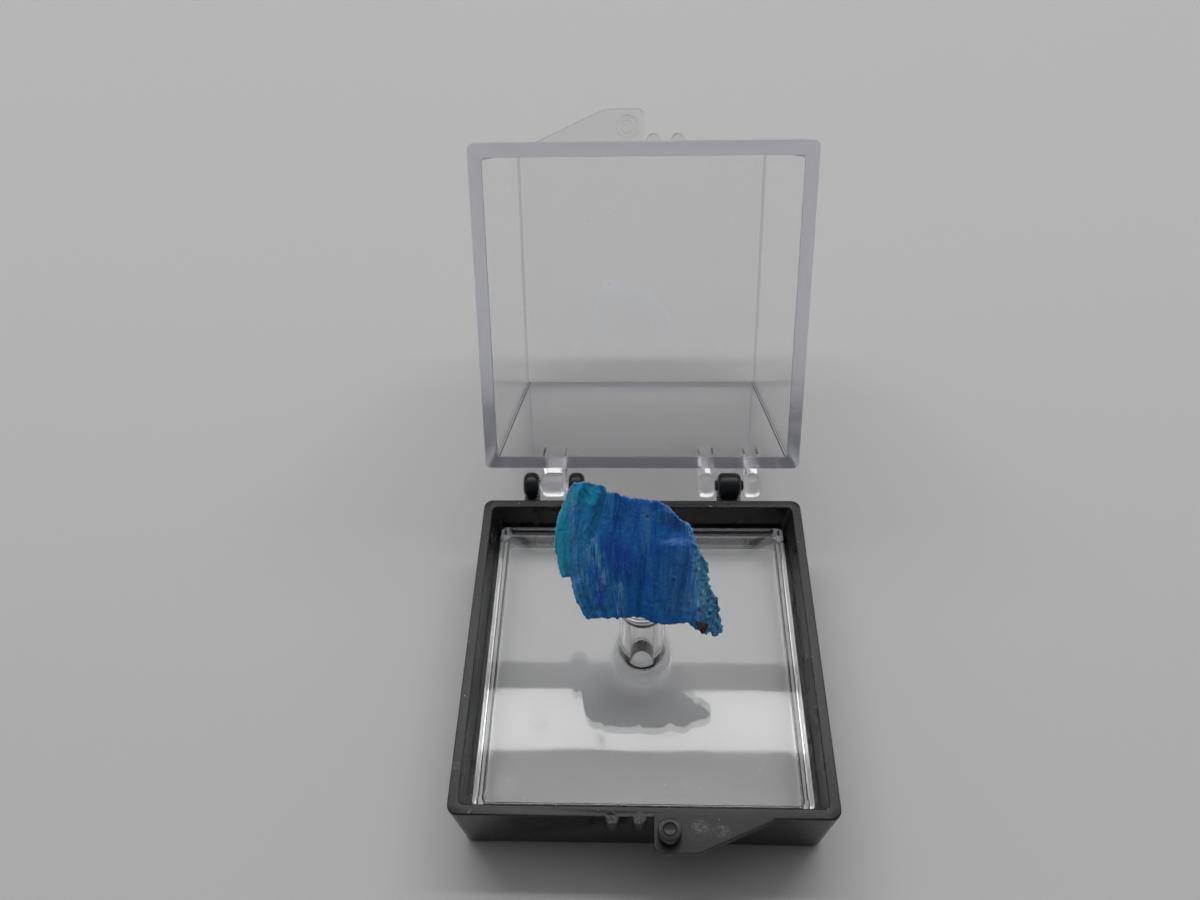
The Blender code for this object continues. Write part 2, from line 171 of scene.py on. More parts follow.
def applyModifiers(obj):
    bpy.context.view_layer.update()
    shape = obj.evaluated_get(bpy.context.evaluated_depsgraph_get())
    mesh = bpy.data.meshes.new_from_object(shape)
    obj.modifiers.clear()
    obj.data = mesh
    return obj


def combine(obj, others, operation):
    for other in others:
        modifier = obj.modifiers.new(other.name, "BOOLEAN")
        modifier.operation = operation
        modifier.solver = "EXACT"
        modifier.object = other
    applyModifiers(obj)
    for other in others:
        bpy.data.objects.remove(other)
    return obj


def finishPiece(obj, material, body, node, angle=38):
    obj.data.materials.clear()
    obj.data.materials.append(material)
    obj.data.shade_smooth()
    obj.data.set_sharp_from_angle(angle=radians(angle))
    weighted = obj.modifiers.new("evenShading", "WEIGHTED_NORMAL")
    weighted.keep_sharp = True
    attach(obj, body)
    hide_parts(node)
    print("piece:", obj.name, len(obj.data.polygons), "faces")
    return obj


# Rounds the corners of a section of (half width, height, corner radius, edge radius) stations
def softened(stations, steps=3):
    out = []
    for i, (half, height, corner, soft) in enumerate(stations):
        if not soft or i in (0, len(stations) - 1):
            out.append((half, height, corner))
            continue
        here = Vector((half, height))
        ends = [Vector(stations[j][:2]) for j in (i - 1, i + 1)]
        first, last = [here + (end - here).normalized() * min(soft, 0.48 * (end - here).length) for end in ends]
        for k in range(steps + 1):
            t = k / steps
            point = first * (1 - t) ** 2 + here * 2 * t * (1 - t) + last * t * t
            out.append((point.x, point.y, max(0.05 * mm, corner + point.x - half)))
    return out


# A closed shell with rounded corners, seen from above: one face is extruded from station to station
def squareShell(stations, cornerSteps):
    def place(verts, half, height, radius):
        for vert in verts:
            corner, step = divmod(vert[spot], cornerSteps + 1)
            turn = corner * pi / 2
            angle = turn + step / cornerSteps * pi / 2
            middle = Vector((cos(turn + pi / 4), sin(turn + pi / 4))) * 2 ** 0.5 * (half - radius)
            vert.co = (middle.x + radius * cos(angle), middle.y + radius * sin(angle), height)

    bm = bmesh.new()
    spot = bm.verts.layers.int.new("spot")
    bmesh.ops.create_circle(bm, cap_ends=True, segments=4 * (cornerSteps + 1), radius=1.0)
    for i, vert in enumerate(sorted(bm.verts, key=lambda v: atan2(v.co.y, v.co.x) % (2 * pi))):
        vert[spot] = i
    place(bm.verts[:], *stations[0])
    face = bm.faces[:][0]
    for station in stations[1:]:
        grown = bmesh.ops.extrude_face_region(bm, geom=[face] + face.edges[:] + face.verts[:])["geom"]
        face = [item for item in grown if isinstance(item, bmesh.types.BMFace)][0]
        place([item for item in grown if isinstance(item, bmesh.types.BMVert)], *station)
    return bm


# A solid of revolution about Z from a (radius, height) profile that starts and ends on the axis
def turnedBmesh(profile, steps=48, centre=(0, 0, 0)):
    bm = bmesh.new()
    verts = [bm.verts.new((radius, 0, height)) for radius, height in profile]
    edges = [bm.edges.new(pair) for pair in zip(verts, verts[1:])]
    bmesh.ops.spin(bm, geom=verts + edges, cent=(0, 0, 0), axis=(0, 0, 1), angle=2 * pi, steps=steps, use_merge=True)
    bmesh.ops.remove_doubles(bm, verts=bm.verts[:], dist=0.002 * mm)
    bmesh.ops.translate(bm, vec=centre, verts=bm.verts[:])
    return bm


def plateBmesh(points, thickness, soft, segments=2):
    bm = bmesh.new()
    face = bm.faces.new([bm.verts.new((x, y, 0)) for x, y in points])
    grown = bmesh.ops.extrude_face_region(bm, geom=[face])["geom"]
    bmesh.ops.translate(bm, vec=(0, 0, thickness), verts=[v for v in grown if isinstance(v, bmesh.types.BMVert)])
    bmesh.ops.recalc_face_normals(bm, faces=bm.faces[:])
    rims = [e for e in bm.edges if abs(e.verts[0].co.z - e.verts[1].co.z) < 0.01 * mm]
    bmesh.ops.bevel(bm, geom=rims, offset=soft, segments=segments, profile=0.5, affect="EDGES", material=-1)
    return bm


def rodBmesh(centre, radius, length, turn, soft, steps=28):
    bm = bmesh.new()
    bmesh.ops.create_cone(bm, cap_ends=True, cap_tris=False, segments=steps, radius1=radius, radius2=radius,
                          depth=length)
    if soft:
        rims = [e for e in bm.edges if abs(e.verts[0].co.z - e.verts[1].co.z) < 0.01 * mm]
        bmesh.ops.bevel(bm, geom=rims, offset=soft, segments=3, profile=0.5, affect="EDGES", material=-1)
    bmesh.ops.transform(bm, matrix=Matrix.Translation(centre) @ turn, verts=bm.verts[:])
    return bm


# Camera, floor and light

view = {
    "place": Vector((-0.644, -43.236, 85.88)) * mm,
    "pitch": radians(49.836),
    "yaw": radians(3.217),
    "roll": radians(-2.41),
    "lens": 29.02,
}


def placeCamera():
    camera = bpy.data.cameras.new("camera")
    camera.lens = view["lens"]
    camera.sensor_width = 36
    camera.clip_start = 0.001
    camera.clip_end = 20
    eye = bpy.data.objects.new("camera", camera)
    scene.collection.objects.link(eye)
    turn = Matrix.Rotation(view["yaw"], 4, "Z") @ Matrix.Rotation(pi / 2 - view["pitch"], 4, "X")
    eye.matrix_world = Matrix.Translation(view["place"]) @ turn @ Matrix.Rotation(view["roll"], 4, "Z")
    scene.camera = eye


# Elevations of the lights in degrees, seen from the box, and their power in watts on a square metre
light = {
    "world": (0.078, 0.079, 0.083),
    "floor": (0.62, 0.617, 0.612, 1),
    "strip": {"low": 64.4, "high": 68.3, "width": 0.6, "away": 0.5, "power": 41.0, "layers": 3, "fade": 0.8},
    "window": {"low": 52.5, "high": 62.6, "width": 0.72, "away": 0.5, "power": 22.0, "layers": 4, "fade": 2.6},
    "ceiling": {"low": 65.0, "high": 98.0, "width": 2.4, "away": 1.1, "power": 2.3, "layers": 2, "fade": 3.0},
    "glow": {"low": 25.0, "high": 42.0, "width": 0.9, "away": 0.38, "power": 2.8, "layers": 2, "fade": 2.0},
    "side": {"low": 10.0, "high": 32.0, "width": 0.5, "away": 0.55, "power": 3.2, "layers": 2, "fade": 2.0},
    "sideTurn": 65.0,
    "floorSize": 3.0,
}


# A broad light behind the box, or turned from there, between two elevations. Its layers end a little apart, so its
# edges are soft.
def addSoftLight(name, values, turn=0.0):
    for i in range(values["layers"]):
        fade = values["fade"] * i / (values["layers"] - 1)
        low, high = radians(values["low"] + fade), radians(values["high"] - fade)
        lamp = bpy.data.lights.new(name, "AREA")
        lamp.shape = "RECTANGLE"
        lamp.size, lamp.size_y = values["width"], 2 * values["away"] * tan((high - low) / 2)
        lamp.energy = values["power"] / values["layers"] * lamp.size * lamp.size_y
        obj = bpy.data.objects.new(name, lamp)
        scene.collection.objects.link(obj)
        middle = (low + high) / 2
        obj.location = Matrix.Rotation(turn, 3, "Z") @ Vector((0, cos(middle), sin(middle))) * values["away"]
        obj.rotation_euler = (middle - pi / 2, 0, turn)


def setStage():
    placeCamera()
    world = bpy.data.worlds.new("studio")
    world.use_nodes = True
    world.node_tree.nodes["Background"].inputs["Color"].default_value = (*light["world"], 1)
    scene.world = world
    scene.view_settings.view_transform = "Standard"
    scene.cycles.glossy_bounces = 12  # light is reflected many times inside the clear walls
    scene.cycles.blur_glossy = 0.1  # and comes through them clear
    for name in ("strip", "window", "ceiling", "glow"):
        addSoftLight(name, light[name])
    for turn in (-light["sideTurn"], light["sideTurn"]):
        addSoftLight("side", light["side"], radians(turn))
    bm = bmesh.new()
    bmesh.ops.create_grid(bm, x_segments=1, y_segments=1, size=light["floorSize"])
    floor = objectOf(bm, "floor")
    floor.data.materials.append(newFinish("paleFloor", {"Base Color": light["floor"], "Roughness": 0.6})[0])
    print("stage set")


# Box

box = {
    "half": 15.875 * mm,
    "parting": 8.0 * mm,
    "gap": 0.1 * mm,
    "lidDepth": 23.0 * mm,
    "lidDraft": 1.3 * mm,
    "lidWall": 1.3 * mm,
    "lidFarWall": 1.05 * mm,
    "lidFillet": 0.22 * mm,
    "chamfer": 0.35 * mm,
    "standClearance": 0.05 * mm,
    "cornerSteps": 8,
    "hingeOffset": 1.8 * mm,
}

hinge = {
    "eye": 1.3 * mm,
    "root": 4.6 * mm,
    "bite": 0.75 * mm,
    "pairWidth": 1.6 * mm,
    "singleWidth": 2.4 * mm,
    "sideGap": 0.3 * mm,
    "bump": 0.55 * mm,
    "bumpRise": 0.26 * mm,
    "bumpSoft": 0.2 * mm,
    "soft": 0.6 * mm,
    "leftX": -8.9 * mm,
    "rightX": 8.9 * mm,
}

catch = {
    "bite": 0.4 * mm,
    "reach": 2.75 * mm,
    "thickness": 0.85 * mm,
    "length": 9.6 * mm,
    "flat": 3.2 * mm,
    "trayStart": 1.25 * mm,
    "lidStart": 1.5 * mm,
    "bossOut": 1.3 * mm,
    "bossRadius": 0.95 * mm,
    "holeRadius": 0.5 * mm,
    "holeDepth": 0.07 * mm,
    "rise": 1.1 * mm,
    "trayX": 2.1 * mm,
    "lidX": -1.35 * mm,
    "nubSpread": 1.1 * mm,
    "nubRadius": 0.6 * mm,
    "nubLength": 1.6 * mm,
    "nubSoft": 0.12 * mm,
    "soft": 0.1 * mm,
}


# A lug on the axis at y = 0, z = 0, rooted in the wall in front of it. side is -1 for the tray, 1 for the lid.
def lug(name, centreX, width, side, shift):
    root = -box["hingeOffset"] - hinge["bite"]
    steps, first, sweep = 22, radians(200), radians(-252)
    arc = [first + sweep * i / steps for i in range(steps + 1)]
    points = [(hinge["eye"] * cos(a), -side * hinge["eye"] * sin(a)) for a in arc]
    points += [(root, side * hinge["root"]), (root, side * box["gap"])]
    bm = plateBmesh(points, width, hinge["soft"], 4)
    upright = Matrix(((0, 0, 1, centreX - width / 2), (1, 0, 0, 0), (0, 1, 0, 0), (0, 0, 0, 1)))
    bmesh.ops.transform(bm, matrix=Matrix.Translation(shift) @ upright, verts=bm.verts[:])
    return objectOf(bm, name)


# Two lugs at pairX, and at singleX one lug with a low bump on each side, which turns between the other body's pair
def addHinge(body, pairX, singleX, side, shift):
    pitch = hinge["singleWidth"] / 2 + hinge["sideGap"] + hinge["pairWidth"] / 2
    lugs = [lug("singleLug", singleX, hinge["singleWidth"], side, shift)]
    lugs += [lug("pairLug", pairX + way * pitch, hinge["pairWidth"], side, shift) for way in (-1, 1)]
    centre = Vector(shift) + Vector((singleX, 0, 0))
    length = hinge["singleWidth"] + 2 * hinge["bumpRise"]
    bumps = rodBmesh(centre, hinge["bump"], length, Matrix.Rotation(pi / 2, 4, "Y"), hinge["bumpSoft"])
    combine(body, lugs + [objectOf(bumps, "bumps")], "UNION")


# The catch on the front wall. way is the side that its flange slopes to, side is -1 for the tray.
def addCatch(body, bossX, start, way, nubX, side, shift):
    wall = -box["half"]
    near = bossX - start * way
    outline = [
        (near, wall + catch["bite"]),
        (near, wall - catch["reach"] + 0.55 * mm),
        (near + 0.16 * mm * way, wall - catch["reach"] + 0.16 * mm),
        (near + 0.55 * mm * way, wall - catch["reach"]),
        (near + catch["flat"] * way, wall - catch["reach"]),
        (near + (catch["flat"] + 0.5 * mm) * way, wall - catch["reach"] + 0.08 * mm),
        (near + catch["length"] * way, wall - 0.05 * mm),
        (near + catch["length"] * way, wall + catch["bite"]),
    ]
    base = box["gap"] if side > 0 else -box["gap"] - catch["thickness"]
    flange = plateBmesh(outline, catch["thickness"], catch["soft"])
    bmesh.ops.translate(flange, vec=Vector(shift) + Vector((0, 0, base)), verts=flange.verts[:])

    radius, soft, rise = catch["bossRadius"], catch["soft"], catch["rise"]
    foot = -box["gap"] - catch["thickness"] / 2
    hole, floor = catch["holeRadius"], rise - catch["holeDepth"]
    profile = [(0, foot), (radius, foot), (radius, rise - soft), (radius - 0.3 * soft, rise - 0.3 * soft),
               (radius - soft, rise), (hole + 0.6 * soft, rise), (hole, rise - 0.6 * soft),
               (hole - 0.5 * soft, floor + 0.5 * soft), (hole - 2.5 * soft, floor), (0, floor)]
    if side > 0:
        profile = [(r, -z) for r, z in profile]
    boss = turnedBmesh(profile, 36, Vector((bossX, wall - catch["bossOut"], 0)) + Vector(shift))

    nubs = []
    for x in (nubX - catch["nubSpread"], nubX + catch["nubSpread"]):
        centre = Vector((x, wall, side * (box["gap"] + catch["nubLength"] / 2))) + Vector(shift)
        nub = rodBmesh(centre, catch["nubRadius"], catch["nubLength"], Matrix(), catch["nubSoft"])
        nubs.append(objectOf(nub, "nub"))
    combine(body, [objectOf(flange, "flange"), objectOf(boss, "boss")] + nubs, "UNION")


tray = {
    "rimWall": 0.9 * mm,
    "lowWall": 1.3 * mm,
    "floor": 1.2 * mm,
    "draft": 0.5 * mm,
    "ledge": 2.2 * mm,
    "colour": (0.012, 0.013, 0.014, 1),
    "scuffColour": (0.14, 0.145, 0.15, 1),
    "dustColour": (0.2, 0.2, 0.2, 1),
    "speckColour": (0.34, 0.33, 0.31, 1),
    "dust": ((-2.4, -16.3, 0.8), (-0.2, -16.4, 0.8), (4.6, -16.5, 0.9), (6.1, -16.8, 0.8), (-15.5, -11.9, 0.6)),
}


def blackPlastic():
    material, shader, start = newFinish("blackPlastic", {"Base Color": tray["colour"], "IOR": 1.5})
    place = objectPlace(start)
    up = start.node("SeparateXYZ", {}, {0: start.node("NewGeometry", {}, {}, "Normal")}, 2)
    cloud = grain(start, place, 260.0, 3.0)
    fine = grain(start, place, 4200.0, 3.0, 0.65)
    specks = grain(start, place, 2600.0, 1.0).step(0.755, 0.79) * up.step(0.2, 0.8)
    scratches = streaked(start, place, (0.0, 0.0, 0.5), (500.0, 7000.0, 900.0)).step(0.7, 0.76)
    scuffs = scratches * cloud.step(0.5, 0.62)
    worn = mixed(scuffs * 0.35, tray["colour"], tray["scuffColour"])
    dust = spotsOn(start, place, tray["dust"]) * fine.step(0.4, 0.62) * up.step(0.0, 0.6)
    worn = mixed(dust * 0.5, worn, tray["dustColour"])
    linkTo(
        shader,
        colour=mixed(specks * 0.8, worn, tray["speckColour"]),
        roughness=0.2 + cloud * 0.14 + scuffs * 0.25 + specks * 0.3 + dust * 0.3,
        normal=bumped(fine * 0.5 + cloud + scratches * 0.2, 0.012 * mm),
    )
    return material


def makeTray():
    half, rim = box["half"], box["parting"] - box["gap"]
    low = half - tray["draft"]
    stations = softened([
        (low - 1.0 * mm, 0, 0.4 * mm, 0),
        (low, 0, 0.85 * mm, 0.36 * mm),
        (half, rim, 0.9 * mm, 0.16 * mm),
        (half - tray["rimWall"], rim, 0.5 * mm, 0.14 * mm),
        (half - tray["lowWall"], rim - tray["ledge"], 0.5 * mm, 0.1 * mm),
        (half - tray["lowWall"] - 0.15 * mm, tray["floor"], 0.45 * mm, 0.35 * mm),
        (half - tray["lowWall"] - 1.2 * mm, tray["floor"], 0.2 * mm, 0),
    ])
    body = objectOf(squareShell(stations, box["cornerSteps"]), "baseTray")
    shift = (0, half + box["hingeOffset"], box["parting"])
    addHinge(body, hinge["leftX"], hinge["rightX"], -1, shift)
    addCatch(body, catch["trayX"], catch["trayStart"], 1, catch["lidX"], -1, (0, 0, box["parting"]))
    return finishPiece(body, blackPlastic(), "tray", "base_tray")


def openAngle():
    corners = (
        (box["hingeOffset"] + box["lidDraft"], box["lidDepth"] - box["chamfer"]),
        (box["hingeOffset"] + box["lidDraft"] + box["chamfer"], box["lidDepth"]),
    )
    drop = box["parting"] - box["standClearance"]
    return min(pi + asin(drop / (a * a + b * b) ** 0.5) - atan2(b, a) for a, b in corners)


# Clear moulding plastic, tinted by absorption. matt gives the extra roughness of duller places.
def clearPlastic(name, absorbed, wave, scale, matt=None):
    material, shader, start = newFinish(name, {"Base Color": (1, 1, 1, 1), "Transmission Weight": 1.0, "IOR": 1.5})
    inside = start.tree.nodes.new("ShaderNodeVolumeAbsorption")
    inside.inputs["Color"].default_value = absorbed
    inside.inputs["Density"].default_value = 60.0
    start.tree.links.new(inside.outputs[0], start.tree.nodes["Material Output"].inputs["Volume"])
    place = objectPlace(start)
    flow = grain(start, place, scale, 2.0)
    hairlines = streaked(start, place, (0.3, 0.2, 0.9), (260.0, 9000.0, 700.0)).step(0.735, 0.78)
    dust = grain(start, place, 3000.0, 1.0).step(0.77, 0.8)
    roughness = 0.02 + hairlines * 0.12 + dust * 0.5 + grain(start, place, 130.0).step(0.5, 0.75) * 0.02
    if matt:
        roughness = roughness + matt(start, place)
    linkTo(shader, roughness=roughness, normal=bumped(flow + hairlines * 0.02, wave))
    return material


def makeLid():
    half, draft, wall, far = box["half"], box["lidDraft"], box["lidWall"], box["lidFarWall"]
    depth, gap = box["lidDepth"], box["gap"]
    stations = softened([
        (half - draft - 2.0 * mm, depth, 0.2 * mm, 0),
        (half - draft, depth, 0.55 * mm, 0.36 * mm),
        (half, gap, 0.6 * mm, 0.12 * mm),
        (half - wall, gap, 0.3 * mm, 0.1 * mm),
        (half - draft - far, depth - wall, 0.3 * mm, box["lidFillet"]),
        (half - draft - far - 1.5 * mm, depth - wall, 0.1 * mm, 0),
    ])
    bm = squareShell(stations, box["cornerSteps"])
    back = Vector((0, -half - box["hingeOffset"], 0))
    bmesh.ops.translate(bm, vec=back, verts=bm.verts[:])
    body = objectOf(bm, "clearLid")
    addHinge(body, hinge["rightX"], hinge["leftX"], 1, (0, 0, 0))
    addCatch(body, catch["lidX"], catch["lidStart"], -1, catch["trayX"], 1, back)
    opened = Matrix.Rotation(-openAngle(), 4, "X")
    axis = Vector((0, half + box["hingeOffset"], box["parting"]))
    body.data.transform(Matrix.Translation(axis) @ opened)
    outwards = opened @ Vector((0, 0, -1))

    # The parting face and what stands beyond it are a little duller than the polished walls
    def partingMask(start, place):
        along = start.node("VectorMath", {"operation": "DOT_PRODUCT"}, {0: place, 1: outwards}, 1)
        return (along - axis.dot(outwards)).step(-0.3 * mm, -0.12 * mm) * 0.36

    finish = clearPlastic("clearLidPlastic", (0.86, 0.865, 0.92, 1), 0.012 * mm, 90.0, partingMask)
    return finishPiece(body, finish, "lid", "clear_lid")


# Card, insert and glue

card = {"half": 14.1 * mm, "thickness": 0.3 * mm, "lift": 0.2 * mm}


def makeCard():
    bottom = tray["floor"] + card["lift"]
    top = bottom + card["thickness"]
    stations = softened([
        (card["half"] - 0.5 * mm, bottom, 0.2 * mm, 0),
        (card["half"], bottom, 0.4 * mm, 0.04 * mm),
        (card["half"], top, 0.4 * mm, 0.08 * mm),
        (card["half"] - 0.5 * mm, top, 0.2 * mm, 0),
    ], 2)
    body = objectOf(squareShell(stations, 6), "floorCard")
    material, shader, start = newFinish("whiteCard", {"Roughness": 0.85, "Specular IOR Level": 0.3})
    place = objectPlace(start)
    fibres = grain(start, place, 2400.0, 4.0, 0.7)
    cloud = grain(start, place, 120.0, 3.0)
    linkTo(
        shader,
        colour=mixed(cloud.step(0.3, 0.7) * 0.5 + fibres * 0.3, (0.87, 0.865, 0.855, 1), (0.82, 0.815, 0.8, 1)),
        normal=bumped(fibres, 0.02 * mm),
    )
    return finishPiece(body, material, "tray", "floor_card")


insert = {
    "top": 5.4 * mm,
    "half": 14.3 * mm,
    "plate": 1.3 * mm,
    "skirt": 0.7 * mm,
    "edge": 0.22 * mm,
    "pedestalY": 0.3 * mm,
    "pedestalTop": 15.1 * mm,
    "footRadius": 2.05 * mm,
    "topRadius": 1.95 * mm,
    "fillet": 0.9 * mm,
    "coreFoot": 1.15 * mm,
    "coreTop": 1.0 * mm,
    "coreHeight": 12.6 * mm,
    "coreDome": 0.35 * mm,
    "smears": ((-9.0, -6.8, 1.3), (-3.7, -8.2, 0.7), (-12.0, -12.4, 1.6), (4.0, -11.9, 0.9)),
}


def makeInsert():
    top, half = insert["top"], insert["half"]
    under = top - insert["plate"]
    bottom = tray["floor"] + 2 * card["lift"] + card["thickness"]
    inner = half - insert["skirt"]
    stations = softened([
        (inner - 1.0 * mm, under, 0.2 * mm, 0),
        (inner, under, 0.45 * mm, 0.25 * mm),
        (inner + 0.05 * mm, bottom, 0.5 * mm, 0.12 * mm),
        (half - 0.1 * mm, bottom, 0.6 * mm, 0.12 * mm),
        (half, top, 0.6 * mm, insert["edge"]),
        (half - 1.5 * mm, top, 0.2 * mm, 0),
    ])
    body = objectOf(squareShell(stations, box["cornerSteps"]), "clearInsert")

    rise, foot, ends = insert["pedestalTop"], insert["footRadius"], insert["topRadius"]
    rim, size = 0.12 * mm, insert["fillet"]
    centre = (0, insert["pedestalY"], 0)
    profile = [(0, rise), (ends - rim, rise), (ends - 0.3 * rim, rise - 0.3 * rim), (ends, rise - rim),
               (foot, top + size)]
    turns = [pi + (pi / 2) * i / 8 for i in range(1, 9)]
    profile += [(foot + size + size * cos(a), top + size + size * sin(a)) for a in turns]
    profile += [(foot + size, top - 0.5 * mm), (0, top - 0.5 * mm)]
    combine(body, [objectOf(turnedBmesh(profile, 64, centre), "pedestal")], "UNION")

    high, dome = insert["coreHeight"], insert["coreDome"]
    tip, wide = insert["coreTop"], insert["coreFoot"]
    core = [(0, high), (0.45 * tip, high - 0.12 * dome), (0.8 * tip, high - 0.45 * dome), (tip, high - dome),
            (wide, under + 0.2 * mm), (wide + 0.2 * mm, under), (wide + 0.2 * mm, under - 0.5 * mm),
            (0, under - 0.5 * mm)]
    combine(body, [objectOf(turnedBmesh(core, 64, centre), "core")], "DIFFERENCE")

    # Smears and rubbed places on the plate, which dull its reflection
    def smears(start, place):
        return spotsOn(start, place, insert["smears"]) * grain(start, place, 1500.0, 3.0).step(0.42, 0.6) * 0.16

    finish = clearPlastic("clearInsertPlastic", (0.86, 0.865, 0.9, 1), 0.01 * mm, 110.0, smears)
    return finishPiece(body, finish, "tray", "clear_insert")


glue = {"radius": 1.75 * mm, "height": 0.45 * mm, "gap": 0.2 * mm}


def makeGlue():
    bottom = insert["pedestalTop"]
    top = bottom + glue["gap"] + glue["height"] + 0.12 * mm
    r = glue["radius"]
    profile = [(0, top), (0.6 * r, top), (0.84 * r, top - 0.1 * mm), (0.97 * r, top - 0.3 * mm),
               (r, bottom + 0.12 * mm), (0.96 * r, bottom + 0.02 * mm), (0, bottom + 0.02 * mm)]
    bm = turnedBmesh(profile, 40)
    for vert in bm.verts:
        wobble = 1 + 0.09 * noise.noise(Vector((vert.co.x, vert.co.y, 0.0)) * 900)
        vert.co.x *= wobble
        vert.co.y *= wobble
    bmesh.ops.translate(bm, vec=(0, insert["pedestalY"], 0), verts=bm.verts[:])
    body = objectOf(bm, "glueDab")
    values = {"Base Color": (0.93, 0.93, 0.9, 1), "Transmission Weight": 1.0, "IOR": 1.46, "Roughness": 0.12}
    material, shader, start = newFinish("clearGlue", values)
    cloud = grain(start, objectPlace(start), 1500.0)
    linkTo(shader, roughness=0.08 + cloud * 0.2, normal=bumped(cloud, 0.03 * mm))
    return finishPiece(body, material, "tray", "glue_dab", 60)


# Chalcanthite. u runs right and v up in a plane that leans back, w stands out of it, all in millimetres.

fragment = {
    "lean": radians(33.2),
    "centre": Vector((0, 0.5, 19.0)) * mm,
    "outline": (
        (-5.7, 6.95), (-4.55, 6.95), (-3.15, 6.65), (-3.0, 6.15), (-2.15, 6.05), (-1.2, 5.65),
        (0.2, 5.55), (1.35, 5.4), (2.1, 4.95), (2.75, 4.25), (3.4, 3.75), (3.95, 3.5), (4.3, 2.8),
        (4.35, 1.95), (4.85, 1.0), (5.35, 0.6), (5.45, -1.3), (5.85, -2.1), (6.3, -2.65), (6.5, -4.15),
        (6.7, -5.2), (6.2, -5.75), (5.7, -5.3), (5.2, -5.45), (4.6, -5.05), (3.75, -4.45), (2.7, -4.6),
        (1.4, -4.6), (0.1, -4.15), (-0.65, -4.0), (-2.2, -4.15), (-3.75, -4.1), (-4.6, -4.25), (-5.4, -3.05),
        (-5.9, -1.55), (-6.15, -0.7), (-6.95, -0.8), (-7.2, 0.45), (-7.5, 1.8), (-7.35, 3.7), (-6.9, 4.95),
        (-6.2, 6.55),
    ),
    "bow": 0.055,
    "bowMiddle": 1.2,
    "fan": 0.016,
    "fanMiddle": 5.0,
    "tilt": 0.2,
    "crown": 0.022,
    "crownMiddle": 0.6,
    "thinnest": 0.6,
    "spacing": 0.3,
    "voxel": 0.085 * mm,
}


def acrossFibres(u, v):
    bow = fragment["bow"] * (v - fragment["bowMiddle"]) ** 2 * smoothStep(0.5, -5.5, u)
    fan = fragment["fan"] * (v - fragment["fanMiddle"]) ** 2 * smoothStep(-2.0, 5.0, u)
    return u - bow + fan


# The broad form that the face and the back share
def broadForm(u, v):
    return fragment["tilt"] * v - 0.2 - fragment["crown"] * (u + fragment["crownMiddle"]) ** 2


def faceHeight(u, v):
    s = acrossFibres(u, v)
    height = broadForm(u, v)
    height -= 1.7 * smoothStep(-5.45, -6.15, u + 0.03 * v + 0.35 * noise.noise(Vector((0.4 * u, 0.7 * v, 50.0))))
    height -= 0.38 * smoothStep(1.8, 2.7, v) * smoothStep(0.9, 2.2, u) * smoothStep(4.6, 3.2, v)
    height -= 0.55 * smoothStep(3.9, 4.5, u + 0.12 * v)
    height += 0.55 * exp(-((u + 1.2) / 2.6) ** 2 - ((v - 0.5) / 4.0) ** 2)
    terraces = noise.noise(Vector((1.15 * s, 0.10 * v, 3.0)))
    height += 0.42 * terraces + 0.2 * round(2.2 * terraces) / 2.2
    height += 0.16 * noise.noise(Vector((3.3 * s, 0.22 * v, 7.0)))
    return height


def backHeight(u, v):
    thickness = 3.1 - 0.9 * smoothStep(-1.0, 2.5, u) - 0.7 * smoothStep(2.5, 5.5, u) - 0.3 * smoothStep(4.0, 6.5, v)
    s = acrossFibres(u, v)
    thickness += 0.4 * noise.noise(Vector((0.8 * s, 0.15 * v, 21.0)))
    thickness += 0.18 * noise.noise(Vector((2.6 * s, 0.3 * v, 27.0)))
    return broadForm(u, v) - 1.2 * smoothStep(-5.5, -6.4, u) - thickness


# How rough the broken rim is: crumbly at the upper right and on the right, smooth on the left
def rimRoughness(u, v):
    return 0.35 + 0.65 * smoothStep(-3.5, 1.0, u) + 0.35 * smoothStep(-2.0, -4.0, v)


def raggedOutline():
    points = []
    corners = fragment["outline"]
    for (u0, v0), (u1, v1) in zip(corners, corners[1:] + corners[:1]):
        length = ((u1 - u0) ** 2 + (v1 - v0) ** 2) ** 0.5
        count = max(1, round(length / 0.16))
        for i in range(count):
            t = i / count
            u, v = u0 + (u1 - u0) * t, v0 + (v1 - v0) * t
            push = 0.11 * noise.noise(Vector((2.2 * u, 2.2 * v, 40.0)))
            push += 0.09 * noise.noise(Vector((5.5 * u, 5.5 * v, 44.0)))
            push *= rimRoughness(u, v)
            points.append((u + push * (v1 - v0) / length * -1, v + push * (u1 - u0) / length))
    return points


